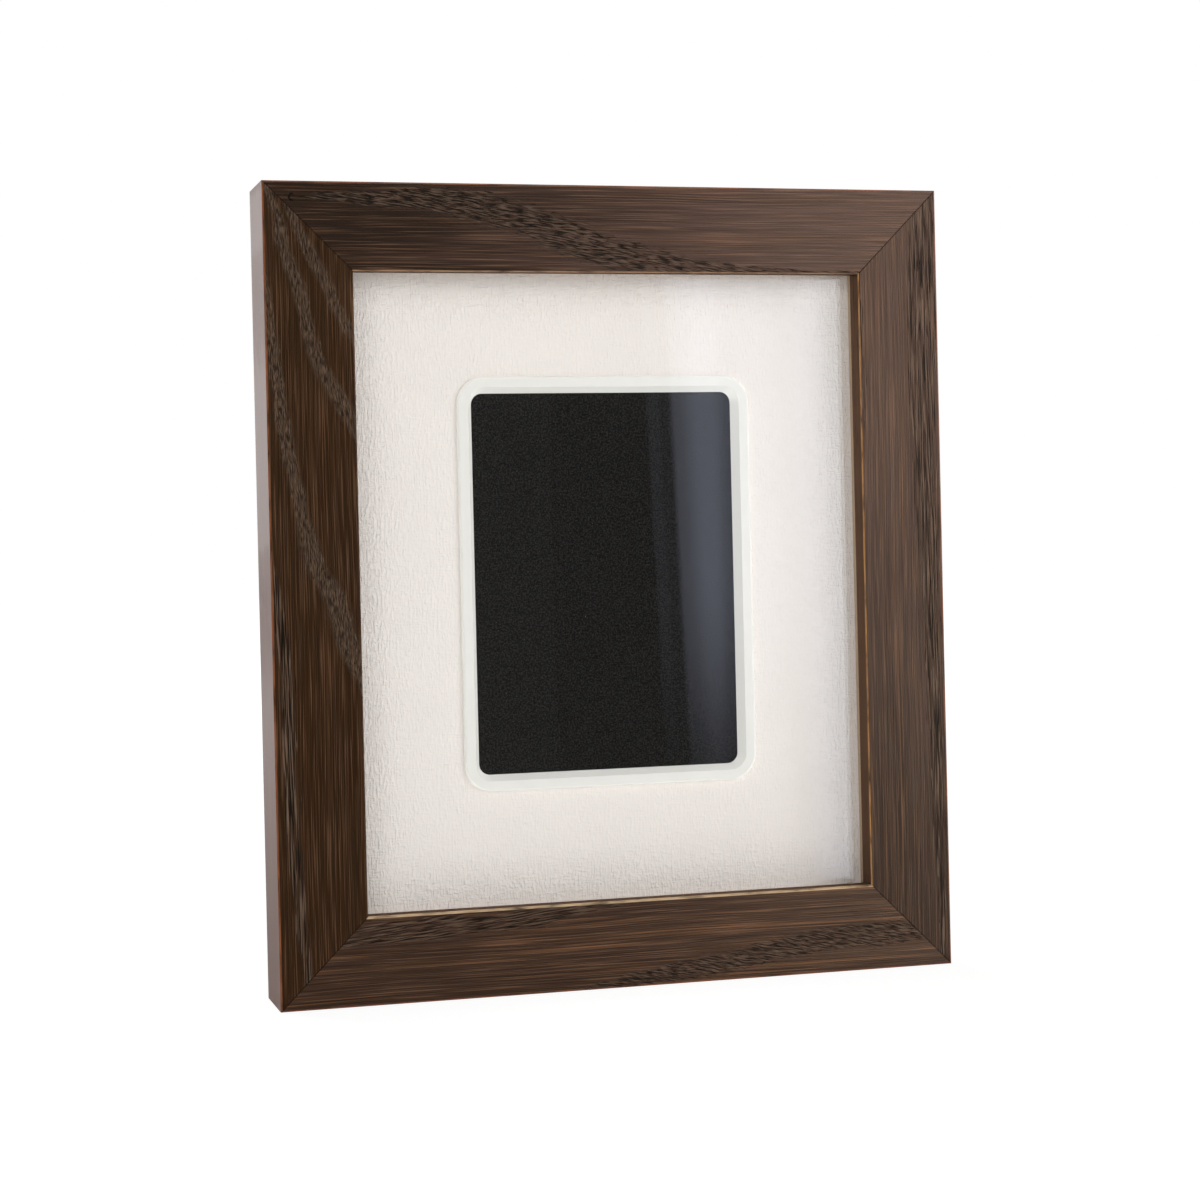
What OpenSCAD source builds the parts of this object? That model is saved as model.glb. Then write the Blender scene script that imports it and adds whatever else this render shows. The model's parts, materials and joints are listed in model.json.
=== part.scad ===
// Wooden display frame for one trading card, with a lined recess behind glass.
// The frame faces -Y and stands on its bottom rail. The origin is the centre of
// the bottom rail's underside: +X is to the viewer's right, +Z is up.
// A depth is measured from the front face of the rails towards the back.

/* [Rails] */
// Width of the whole frame
frame_w = 162; // [150:1:240]
// Height of the whole frame
frame_h = 186; // [170:1:280]
// Depth of the rails from front to back
rail_depth = 19.5; // [18.5:0.5:40]
// Width of a rail's front face
rail_w = 20.2; // [18:0.1:30]
// How far the lip reaches over the glass
lip_w = 6.2; // [5:0.1:8]
// Thickness of the lip in front of the glass
lip_t = 6.2; // [4:0.1:7]
// How far the lip's inner face falls back from its front edge to the glass
lip_slope = 0.3; // [0:0.1:0.6]
// Width of the sanded flat on each front edge
arris = 0.35; // [0.2:0.05:1]

/* [Glass, spacers and mat] */
// Thickness of the glass
glass_t = 2; // [1.5:0.1:3]
// Free space between glass and mat, which is the depth of the spacer strips
spacer_t = 2.4; // [2:0.1:6]
// How far the spacer strips sit back behind the lip's edge
spacer_setback = 0.8; // [0.2:0.1:2]
// Thickness of the mat's linen-grained facing paper
facing_t = 0.3; // [0.2:0.1:0.6]
// Thickness of the mat's core board
core_t = 1.4; // [1.2:0.1:3]
// Gap between the loose sheets and the rebate's walls
sheet_gap = 0.5; // [0.2:0.1:1]

/* [Card recess] */
// Width of the card recess at its floor
well_w = 63.5; // [50:0.5:80]
// Height of the card recess at its floor
well_h = 88.9; // [70:0.1:110]
// Corner radius of the card recess at its floor
well_r = 2.6; // [2:0.1:5]
// How far the recess's centre lies above the frame's centre
well_rise = 1.2; // [0:0.1:6]
// How far the bezel's inner wall leans outwards
slope_run = 1.3; // [0.8:0.1:1.8]
// Width of the bezel's flat rim
rim_w = 2.5; // [1.8:0.1:4]
// Height of the rim above the mat
rim_proud = 1.15; // [0.8:0.05:1.8]
// Radius of the rim's outer edge
rim_edge_r = 0.6; // [0.3:0.1:0.8]
// Wall of the bezel's neck, measured at its foot
neck_w = 2.2; // [1.8:0.1:2.5]
// Gap between the neck and the window cut in the mat
neck_gap = 0.1; // [0.05:0.05:0.3]
// How far the black pad runs on behind the mat
pad_margin = 5; // [4:0.5:10]
// Thickness of the black pad
pad_t = 1.2; // [0.8:0.1:2]
// Gap between the pad and its pocket in the filler board
pad_gap = 0.2; // [0.1:0.1:0.5]

/* [Back board] */
// Thickness of the back board
board_t = 3; // [2.5:0.1:4]
// How far the back board lies below the rails' back face
board_recess = 0.1; // [0.1:0.05:0.5]

/* [Turn buttons] */
// Distance from a button's pivot to its tip
button_reach = 15; // [12:0.5:20]
// Width of a button
button_w = 9; // [7:0.5:11]
// Thickness of a button's plate
button_t = 0.9; // [0.6:0.1:1.5]
// Height of the bent finger lip at a button's tip
button_lip = 1; // [0.5:0.1:2]
// Distance between the upper and the lower button of a rail
button_spacing = 92; // [60:1:120]
// Shank radius of the button screws
screw_r = 1.3; // [1:0.1:1.6]
// Length of a screw's shank in the wood
screw_depth = 9; // [6:0.5:14]
// Head radius of the button screws
screw_head_r = 2.8; // [2.4:0.1:3.5]
// Head height of the button screws
screw_head_h = 1.6; // [1.2:0.1:2.2]

/* [Wall hanger] */
// Length of the sawtooth hanger
hanger_w = 44; // [36:1:60]
// Height of the sawtooth hanger
hanger_h = 9.5; // [8:0.5:11]
// Thickness of the hanger's sheet
hanger_t = 0.7; // [0.5:0.1:1]
// How far the toothed bridge stands off the wood
hanger_rise = 1.2; // [0.8:0.1:2]
// Length of each flat end of the hanger
hanger_tab = 8; // [6:0.5:10]
// Number of notches between the teeth
hanger_notches = 9; // [5:2:13]
// Depth of a notch
notch_h = 1.5; // [1:0.1:2]
// Shank radius of the hanger nails
nail_r = 0.7; // [0.5:0.1:1]
// Length of a nail in the wood
nail_depth = 9; // [6:0.5:13]

/* [Easel leg] */
// Distance from the frame's top down to the hinge pin
hinge_drop = 38; // [34:1:60]
// Width of the leg at its hinge
leg_top_w = 34; // [30:1:40]
// Width of the leg at its foot
leg_foot_w = 50; // [40:1:70]
// Thickness of the leg
leg_t = 2.4; // [2:0.1:4]
// Height of the folded leg's foot above the frame's underside
leg_foot_rise = 4; // [2:0.5:20]
// Radius of the foot's corners
leg_foot_r = 6; // [3:0.5:10]
// Space between the folded leg and the rails' back
leg_gap = 0.3; // [0.2:0.1:1]
// Width of the hinge
hinge_w = 27; // [21:1:29]
// Thickness of a hinge leaf
leaf_t = 0.8; // [0.5:0.1:1]
// Height of a hinge leaf, from the pin to its free edge
leaf_h = 15; // [12:0.5:18]
// Radius of the hinge pin
pin_r = 0.9; // [0.7:0.1:1]
// Shank radius of the hinge rivets
rivet_r = 1.1; // [0.8:0.1:1.5]
// Radius of a rivet's head
rivet_head_r = 2.1; // [1.8:0.1:2.6]
// Height of a rivet's head
rivet_head_h = 0.7; // [0.5:0.1:1]

/* [Hidden] */
$fn = 48;

// How far a cutting shape runs past what it cuts
overrun = 1;
// Radial clearance of a pin or screw in the piece that turns on it
running_gap = 0.06;
// Clearance of a fastener in the hole it was driven into
driven_gap = 0.02;
// Space left above and below a piece that turns or swings
side_gap = 0.1;
// Space between neighbouring hinge knuckles
knuckle_gap = 0.3;

front_y = -rail_depth / 2;
back_y = rail_depth / 2;
mid_z = frame_h / 2;

// Depths of the faces of the sheets in the rebate, front to back
glass_d = lip_t;
spacer_d = glass_d + glass_t;
facing_d = spacer_d + spacer_t;
core_d = facing_d + facing_t;
floor_d = core_d + core_t;
board_d = rail_depth - board_recess - board_t;

// Outline of the loose sheets
solid_w = rail_w - lip_w;
sheet_w = frame_w - 2 * (solid_w + sheet_gap);
sheet_h = frame_h - 2 * (solid_w + sheet_gap);

// Spacer strips
spacer_w = lip_w - lip_slope - sheet_gap - spacer_setback;

// Bezel
well_z = mid_z + well_rise;
bezel_h = rim_proud + facing_t + core_t;
bezel_w = slope_run + rim_w;
rim_steps = 6;

// V-shaped corner nails
v_leg = 5;
v_t = 0.5;
v_depth = 8;
v_spread = 60;

// Turn buttons and their screws
pivot_x = frame_w / 2 - solid_w / 2;
button_places = [
    [-1, mid_z + button_spacing / 2], [1, mid_z + button_spacing / 2],
    [-1, mid_z - button_spacing / 2], [1, mid_z - button_spacing / 2]
];
button_lip_run = 1.8;
head_top_share = 0.72;
slot_w_share = 0.24;
slot_h_share = 0.5;
slot_length_share = 1.1;
tip_share = 0.25;

// Wall hanger
hanger_z = frame_h - solid_w / 2;
hanger_ramp = hanger_rise;
bridge_w = hanger_w - 2 * (hanger_tab + hanger_ramp);
notch_pitch = bridge_w / hanger_notches;
nail_x = (hanger_w - hanger_tab) / 2;
nail_head_r = 2 * nail_r;
nail_head_h = nail_r;

// Easel hinge and leg
hinge_z = frame_h - hinge_drop;
board_y = back_y - board_recess;
leg_y = back_y + leg_gap;
leaf_y = leg_y + leg_t;
knuckle_r = (leaf_y + leaf_t - board_y) / 2;
pin_y = board_y + knuckle_r;
knuckle_w = (hinge_w - 2 * knuckle_gap) / 3;
leg_top = hinge_z - knuckle_r - knuckle_gap;
rivet_x = hinge_w / 2 - 2 * rivet_head_r;
rivet_drop = (leaf_h + knuckle_r) / 2;
foot_steps = 6;

// Small shared shapes

// Extrudes an outline drawn in X and Z from depth d over thickness t
module sheet(d, t) {
    translate([0, front_y + d + t, 0])
        rotate([90, 0, 0]) linear_extrude(t) children();
}

// Rectangle centred on the frame, drawn in X and Z
module sheet_outline(w, h) {
    translate([0, mid_z]) square([w, h], center = true);
}

// Rectangle with round corners, centred on the card recess
module well_outline(grow) {
    r = well_r + grow;
    w = well_w + 2 * grow;
    h = well_h + 2 * grow;
    translate([0, well_z]) {
        square([w - 2 * r, h], center = true);
        square([w, h - 2 * r], center = true);
        for (x = [r - w / 2, w / 2 - r], z = [r - h / 2, h / 2 - r])
            translate([x, z]) circle(r);
    }
}

// Puts a shape on the rails' back, with its own Z pointing backwards
module on_back(x, z) {
    translate([x, back_y, z]) rotate([-90, 0, 0]) children();
}

// Rod along X, centred at the origin
module rod_x(r, length) {
    rotate([0, 90, 0]) cylinder(r = r, h = length, center = true);
}

// Rails

// Cross-section of a rail: inwards from its outer edge, then depth
module rail_section() {
    polygon([
        [arris, 0], [rail_w - arris, 0], [rail_w, arris], [rail_w - lip_slope, lip_t],
        [solid_w, lip_t], [solid_w, rail_depth], [0, rail_depth], [0, arris]
    ]);
}

// One mitred rail along X, its outer edge at Z zero and its width upwards
module rail(length) {
    intersection() {
        translate([-length / 2, front_y, 0])
            multmatrix([[0, 0, 1, 0], [0, 1, 0, 0], [1, 0, 0, 0], [0, 0, 0, 1]])
                linear_extrude(length) rail_section();
        translate([0, back_y + overrun, 0]) rotate([90, 0, 0])
            linear_extrude(rail_depth + 2 * overrun)
                polygon([
                    [-length / 2, 0], [length / 2, 0],
                    [length / 2 - rail_w, rail_w], [rail_w - length / 2, rail_w]
                ]);
    }
}

// V-shaped nails across the mitres at the back, grown by gap for their slots
module v_nails(gap) {
    t = v_t / 2 + gap;
    for (sx = [-1, 1], sz = [-1, 1])
        translate([sx * (frame_w / 2 - solid_w / 2), back_y - v_depth - gap,
                   mid_z + sz * (frame_h / 2 - solid_w / 2)])
            rotate([0, -45 * sx * sz + (sx > 0 ? 180 : 0), 0])
                for (side = [-1, 1])
                    rotate([0, side * v_spread / 2, 0])
                        translate([-gap, 0, -t])
                            cube([v_leg + 2 * gap, v_depth + gap, 2 * t]);
}

module rail_cuts() {
    v_nails(driven_gap);
    for (p = button_places)
        on_back(p[0] * pivot_x, p[1])
            mirror([0, 0, 1]) cylinder(r = screw_r + driven_gap, h = screw_depth + driven_gap);
    for (x = [-nail_x, nail_x])
        on_back(x, hanger_z)
            mirror([0, 0, 1]) cylinder(r = nail_r + driven_gap, h = nail_depth + driven_gap);
}

module rail_bottom() {
    color("#4a3629") difference() {
        rail(frame_w);
        rail_cuts();
    }
}

module rail_top() {
    color("#4d382c") difference() {
        translate([0, 0, frame_h]) rotate([0, 180, 0]) rail(frame_w);
        rail_cuts();
    }
}

module rail_left() {
    color("#443023") difference() {
        translate([-frame_w / 2, 0, mid_z]) rotate([0, 90, 0]) rail(frame_h);
        rail_cuts();
    }
}

module rail_right() {
    color("#5a4339") difference() {
        translate([frame_w / 2, 0, mid_z]) rotate([0, -90, 0]) rail(frame_h);
        rail_cuts();
    }
}

module corner_v_nails() {
    color("#8d9094") v_nails(0);
}

// Glass and spacers

module front_glass() {
    color("#dfe8ea", 0.35) sheet(glass_d, glass_t) sheet_outline(sheet_w, sheet_h);
}

// Strip across the sheets' full width, at their upper or lower edge
module cross_spacer(side) {
    color("#d8d0c6") sheet(spacer_d, spacer_t)
        translate([0, mid_z + side * (sheet_h - spacer_w) / 2])
            square([sheet_w, spacer_w], center = true);
}

// Strip between the two cross strips, at the sheets' left or right edge
module upright_spacer(side) {
    color("#d8d0c6") sheet(spacer_d, spacer_t)
        translate([side * (sheet_w - spacer_w) / 2, mid_z])
            square([spacer_w, sheet_h - 2 * spacer_w], center = true);
}

module spacer_top() {
    cross_spacer(1);
}

module spacer_bottom() {
    cross_spacer(-1);
}

module spacer_left() {
    upright_spacer(-1);
}

module spacer_right() {
    upright_spacer(1);
}

// Mat, bezel and pad

module mat_sheet(d, t) {
    sheet(d, t) difference() {
        sheet_outline(sheet_w, sheet_h);
        well_outline(neck_w + neck_gap);
    }
}

module mat_facing() {
    color("#efeae5") mat_sheet(facing_d, facing_t);
}

module mat_core() {
    color("#f4f1ea") mat_sheet(core_d, core_t);
}

// Cross-section of the bezel: outwards from the recess's wall, then height
// above the recess's floor
module bezel_section() {
    polygon(concat(
        [[0, 0], [neck_w, 0], [neck_w, bezel_h - rim_proud], [bezel_w, bezel_h - rim_proud]],
        [for (i = [0:rim_steps])
            [bezel_w - rim_edge_r * (1 - cos(90 * i / rim_steps)),
             bezel_h - rim_edge_r * (1 - sin(90 * i / rim_steps))]],
        [[slope_run, bezel_h]]
    ));
}

// Straight side of the bezel, turned a about the recess's centre
module bezel_side(a, from_centre, length) {
    rotate([0, 0, a]) translate([from_centre, length / 2, 0])
        rotate([90, 0, 0]) linear_extrude(length) bezel_section();
}

module card_bezel() {
    half_w = well_w / 2 - well_r;
    half_h = well_h / 2 - well_r;
    color("#e8e7e2")
        translate([0, front_y + floor_d, well_z]) rotate([90, 0, 0]) {
            for (a = [0, 180]) bezel_side(a, well_w / 2, 2 * half_h);
            for (a = [90, 270]) bezel_side(a, well_h / 2, 2 * half_w);
            for (c = [[half_w, half_h, 0], [-half_w, half_h, 90],
                      [-half_w, -half_h, 180], [half_w, -half_h, 270]])
                translate([c[0], c[1], 0]) rotate([0, 0, c[2]])
                    rotate_extrude(angle = 90) translate([well_r, 0]) bezel_section();
        }
}

module card_pad() {
    color("#1d1d1b") sheet(floor_d, pad_t) well_outline(pad_margin);
}

module filler_board() {
    color("#e6e3dc") difference() {
        sheet(floor_d, board_d - floor_d) sheet_outline(sheet_w, sheet_h);
        sheet(floor_d - overrun, pad_t + overrun) well_outline(pad_margin + pad_gap);
    }
}

// Back board with the holes of the hinge rivets
module back_board() {
    color("#2b2926") difference() {
        sheet(board_d, board_t) sheet_outline(sheet_w, sheet_h);
        for (x = [-rivet_x, rivet_x])
            on_back(x, hinge_z + rivet_drop)
                translate([0, 0, -rail_depth]) cylinder(r = rivet_r + driven_gap, h = 2 * rail_depth);
    }
}

// Turn buttons

// One button, its pivot at the origin and its tip along X
module turn_button_plate() {
    r = button_w / 2;
    translate([0, 0, side_gap]) {
        difference() {
            union() {
                linear_extrude(button_t) {
                    circle(r);
                    translate([0, -r]) square([button_reach - r, button_w]);
                    translate([button_reach - r, 0]) circle(r);
                }
                intersection() {
                    translate([button_reach - r, 0, 0]) cylinder(r = r, h = button_t + button_lip);
                    translate([button_reach - button_lip_run, -r, 0])
                        cube([button_lip_run, button_w, button_t + button_lip]);
                }
            }
            translate([0, 0, -overrun])
                cylinder(r = screw_r + running_gap, h = button_t + 2 * overrun);
        }
    }
}

module turn_button(i) {
    p = button_places[i];
    color("#b9b4a6") on_back(p[0] * pivot_x, p[1])
        rotate([0, 0, p[0] > 0 ? 180 : 0]) turn_button_plate();
}

module turn_button_upper_left() {
    turn_button(0);
}

module turn_button_upper_right() {
    turn_button(1);
}

module turn_button_lower_left() {
    turn_button(2);
}

module turn_button_lower_right() {
    turn_button(3);
}

// Pan-head screw with a cross recess, its shank going down from the origin
module turn_screw() {
    seat = button_t + 2 * side_gap;
    tip = screw_depth * tip_share;
    rim = screw_head_h / 2;
    slot = screw_head_r * slot_w_share;
    difference() {
        union() {
            translate([0, 0, tip - screw_depth]) cylinder(r = screw_r, h = screw_depth - tip + seat);
            translate([0, 0, -screw_depth]) cylinder(r1 = 0, r2 = screw_r, h = tip);
            translate([0, 0, seat]) cylinder(r = screw_head_r, h = rim);
            translate([0, 0, seat + rim])
                cylinder(r1 = screw_head_r, r2 = screw_head_r * head_top_share, h = rim);
        }
        for (a = [0, 90])
            rotate([0, 0, a])
                translate([-screw_head_r * slot_length_share / 2, -slot,
                           seat + screw_head_h * (1 - slot_h_share)])
                    cube([screw_head_r * slot_length_share, 2 * slot, screw_head_h]);
    }
}

module turn_button_screws() {
    color("#c9c3b2")
        for (p = button_places) on_back(p[0] * pivot_x, p[1]) turn_screw();
}

// Wall hanger

// Side view of the hanger: along the rail, then away from the wood
module hanger_section() {
    tab = hanger_w / 2 - hanger_tab;
    bridge = bridge_w / 2;
    polygon([
        [-hanger_w / 2, 0], [-tab, 0], [-bridge, hanger_rise], [bridge, hanger_rise],
        [tab, 0], [hanger_w / 2, 0], [hanger_w / 2, hanger_t], [tab, hanger_t],
        [bridge, hanger_rise + hanger_t], [-bridge, hanger_rise + hanger_t],
        [-tab, hanger_t], [-hanger_w / 2, hanger_t]
    ]);
}

// Face of the hanger, with the notches in its lower edge
module hanger_face() {
    low = -hanger_h / 2;
    polygon(concat(
        [[-hanger_w / 2, hanger_h / 2], [-hanger_w / 2, low], [-bridge_w / 2, low]],
        [for (i = [0:hanger_notches - 1], k = [1, 2])
            [-bridge_w / 2 + (i + k / 2) * notch_pitch, k == 1 ? low + notch_h : low]],
        [[hanger_w / 2, low], [hanger_w / 2, hanger_h / 2]]
    ));
}

module sawtooth_hanger() {
    color("#c4b98f") translate([0, back_y, hanger_z]) difference() {
        intersection() {
            translate([0, 0, -hanger_h]) linear_extrude(2 * hanger_h) hanger_section();
            translate([0, hanger_rise + 2 * hanger_t, 0]) rotate([90, 0, 0])
                linear_extrude(hanger_rise + 3 * hanger_t) hanger_face();
        }
        for (x = [-nail_x, nail_x])
            translate([x, 0, 0]) rotate([-90, 0, 0])
                translate([0, 0, -overrun]) cylinder(r = nail_r + driven_gap, h = 3 * overrun);
    }
}

module hanger_nails() {
    color("#c9c3b2")
        for (x = [-nail_x, nail_x]) on_back(x, hanger_z) {
            translate([0, 0, -nail_depth]) cylinder(r = nail_r, h = nail_depth + hanger_t);
            translate([0, 0, hanger_t]) cylinder(r = nail_head_r, h = nail_head_h);
        }
}

// Easel hinge: the pin runs along X at pin_y and hinge_z

// Knuckle of the given length, centred at x, before its bore is cut
module knuckle(x, length) {
    translate([x, 0, 0]) rod_x(knuckle_r, length);
}

module pin_bore(gap) {
    rod_x(pin_r + gap, hinge_w + 2 * overrun);
}

// Leaf plate with rivet holes, up from the pin, its outer face on the knuckle
module leaf_plate() {
    root = knuckle_r + knuckle_gap;
    difference() {
        translate([-hinge_w / 2, -knuckle_r, root]) cube([hinge_w, leaf_t, leaf_h - root]);
        for (x = [-rivet_x, rivet_x])
            translate([x, 0, rivet_drop]) rotate([90, 0, 0])
                cylinder(r = rivet_r + driven_gap, h = 2 * knuckle_r);
    }
}

// Tongue that joins the plate to the knuckle centred at x
module leaf_tongue(x) {
    translate([x - knuckle_w / 2, -knuckle_r, 0])
        cube([knuckle_w, leaf_t, knuckle_r + knuckle_gap]);
}

// Rivet along Y through grip of material, its head behind the plane y = 0
module rivet(grip) {
    rotate([-90, 0, 0]) {
        translate([0, 0, -grip]) cylinder(r = rivet_r, h = grip);
        cylinder(r1 = rivet_head_r, r2 = rivet_head_r * head_top_share, h = rivet_head_h);
    }
}

module hinge_board_leaf() {
    outer_x = (hinge_w - knuckle_w) / 2;
    color("#a8a9a6") translate([0, pin_y, hinge_z]) difference() {
        union() {
            leaf_plate();
            for (x = [-outer_x, outer_x]) {
                leaf_tongue(x);
                knuckle(x, knuckle_w);
            }
        }
        pin_bore(driven_gap);
    }
}

module hinge_board_rivets() {
    color("#9b9c98")
        for (x = [-rivet_x, rivet_x])
            translate([x, board_y + leaf_t, hinge_z + rivet_drop]) rivet(leaf_t + board_t);
}

module hinge_pin() {
    color("#8d9094") translate([0, pin_y, hinge_z]) rod_x(pin_r, hinge_w);
}

module hinge_leg_leaf() {
    color("#a8a9a6") translate([0, pin_y, hinge_z]) difference() {
        rotate([180, 0, 0]) {
            leaf_plate();
            leaf_tongue(0);
            knuckle(0, knuckle_w);
        }
        pin_bore(running_gap);
    }
}

module hinge_leg_rivets() {
    color("#9b9c98")
        for (x = [-rivet_x, rivet_x])
            translate([x, leaf_y + leaf_t, hinge_z - rivet_drop]) rivet(leaf_t + leg_t);
}

// Tapered leg with a round-cornered foot, folded flat against the back
module easel_leg() {
    foot = leg_foot_rise;
    side = leg_foot_w / 2;
    color("#2b2926") difference() {
        translate([0, leg_y + leg_t, 0]) rotate([90, 0, 0]) linear_extrude(leg_t)
            polygon(concat(
                [for (i = [0:foot_steps])
                    [side - leg_foot_r * (1 - sin(90 * i / foot_steps)),
                     foot + leg_foot_r * (1 - cos(90 * i / foot_steps))]],
                [[leg_top_w / 2, leg_top], [-leg_top_w / 2, leg_top]],
                [for (i = [foot_steps:-1:0])
                    [-side + leg_foot_r * (1 - sin(90 * i / foot_steps)),
                     foot + leg_foot_r * (1 - cos(90 * i / foot_steps))]]
            ));
        for (x = [-rivet_x, rivet_x])
            translate([x, leg_y - overrun, hinge_z - rivet_drop]) rotate([-90, 0, 0])
                cylinder(r = rivet_r + driven_gap, h = leg_t + 2 * overrun);
    }
}

rail_top();
rail_bottom();
rail_left();
rail_right();
corner_v_nails();
front_glass();
spacer_top();
spacer_bottom();
spacer_left();
spacer_right();
mat_facing();
mat_core();
card_bezel();
card_pad();
filler_board();
back_board();
turn_button_upper_left();
turn_button_upper_right();
turn_button_lower_left();
turn_button_lower_right();
turn_button_screws();
sawtooth_hanger();
hanger_nails();
hinge_board_leaf();
hinge_board_rivets();
hinge_pin();
hinge_leg_leaf();
hinge_leg_rivets();
easel_leg();
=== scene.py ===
import json
import math

import bmesh
import bpy
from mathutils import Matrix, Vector

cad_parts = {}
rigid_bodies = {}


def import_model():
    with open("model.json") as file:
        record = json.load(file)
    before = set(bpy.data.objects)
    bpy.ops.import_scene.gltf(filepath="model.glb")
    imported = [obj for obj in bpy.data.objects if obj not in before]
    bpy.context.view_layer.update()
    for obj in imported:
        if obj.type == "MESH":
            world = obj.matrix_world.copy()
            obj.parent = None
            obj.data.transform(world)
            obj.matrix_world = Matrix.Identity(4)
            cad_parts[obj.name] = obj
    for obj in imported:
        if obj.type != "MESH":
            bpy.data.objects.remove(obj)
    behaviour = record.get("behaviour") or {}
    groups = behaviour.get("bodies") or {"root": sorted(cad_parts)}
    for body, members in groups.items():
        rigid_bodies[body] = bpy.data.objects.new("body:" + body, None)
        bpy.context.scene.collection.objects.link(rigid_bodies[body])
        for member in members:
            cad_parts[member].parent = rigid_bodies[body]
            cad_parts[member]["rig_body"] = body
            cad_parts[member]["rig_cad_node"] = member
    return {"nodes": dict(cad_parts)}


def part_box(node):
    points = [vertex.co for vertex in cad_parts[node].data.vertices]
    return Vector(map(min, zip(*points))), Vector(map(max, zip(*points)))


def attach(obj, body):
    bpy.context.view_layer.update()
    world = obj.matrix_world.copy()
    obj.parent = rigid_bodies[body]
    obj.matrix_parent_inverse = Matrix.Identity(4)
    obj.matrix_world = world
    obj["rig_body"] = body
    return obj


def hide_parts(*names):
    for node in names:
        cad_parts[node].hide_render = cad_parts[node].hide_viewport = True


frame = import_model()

# Everything is in metres, in the frame's own axes: +X to the right, -Y towards the viewer, +Z up.
# Patterns on the surfaces are drawn in millimetres.
MM = 0.001
MM_PER_M = 1000.0


def is_spare(thing):
    """Whether it came with the empty scene and not with the frame."""
    return "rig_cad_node" not in thing and thing.type in {"MESH", "LIGHT", "CAMERA"}


# Spare objects would count in the bounds
for spare in list(filter(is_spare, bpy.data.objects)):
    bpy.data.objects.remove(spare)
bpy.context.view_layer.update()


def size_mm(node):
    """Width, depth and height of a piece of the frame, in millimetres."""
    low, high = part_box(node)
    return [side * MM_PER_M for side in high - low]


# Sizes read off the frame, in millimetres
FRAME_W, _, RAIL_FACE = size_mm("rail_top")
FRAME_H = size_mm("rail_left")[2]
FRONT_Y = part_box("rail_top")[0].y * MM_PER_M
WELL_Z = (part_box("card_bezel")[0].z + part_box("card_bezel")[1].z) / 2 * MM_PER_M

# Camera, left of the frame and a little above the middle of its height
CAMERA_PLACE = (-0.1621, -0.5710, 0.1054)
CAMERA_TURN = (89.716, 1.310, -15.686)
CAMERA_LENS = 75.59
CAMERA_SENSOR = 36.0
CAMERA_SHIFT = -0.0449
NEAREST_SEEN = 0.01

# Light, as radiance, where 1 is the white of the backdrop
FILL = 0.13
DARK_CLOTH = 0.02
WHITE = (1.0, 1.0, 1.0, 1.0)
LAMP_TINT = (1.0, 0.99, 0.983)
RIGHT_BOX = {"place": (0.844, -0.937, 0.43), "size": (1.1, 0.8), "radiance": 3.68}
FRONT_BOX = {"place": (-0.481, -1.190, 0.32), "size": (0.8, 0.5), "radiance": 4.08}
BACK_BOX = {"place": (-0.5, 1.2, 0.7), "size": (1.2, 1.0), "radiance": 3.0}
FLOOR_BOX = {"place": (0.0, -0.36, 0.002), "size": (1.2, 0.7), "radiance": 0.43, "aim": (0, 0, 1)}

# The lamps for the bezel alone: their name, the direction they shine in, and their irradiance
BEZEL_GLOW = (
    ("glow_to_right", (1, 0, 0), 1.75),
    ("glow_up", (0, 0, 1), 1.8),
    ("glow_to_left", (-1, 0, 0), 0.8),
    ("glow_down", (0, 0, -1), 1.0),
)


def paint(red, green, blue):
    """A colour as a paint card gives it, in steps of 255, as the light it sends back."""
    def light(step):
        share = step / 255
        return share / 12.92 if share <= 0.04045 else ((share + 0.055) / 1.055) ** 2.4
    return (light(red), light(green), light(blue), 1.0)


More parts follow.
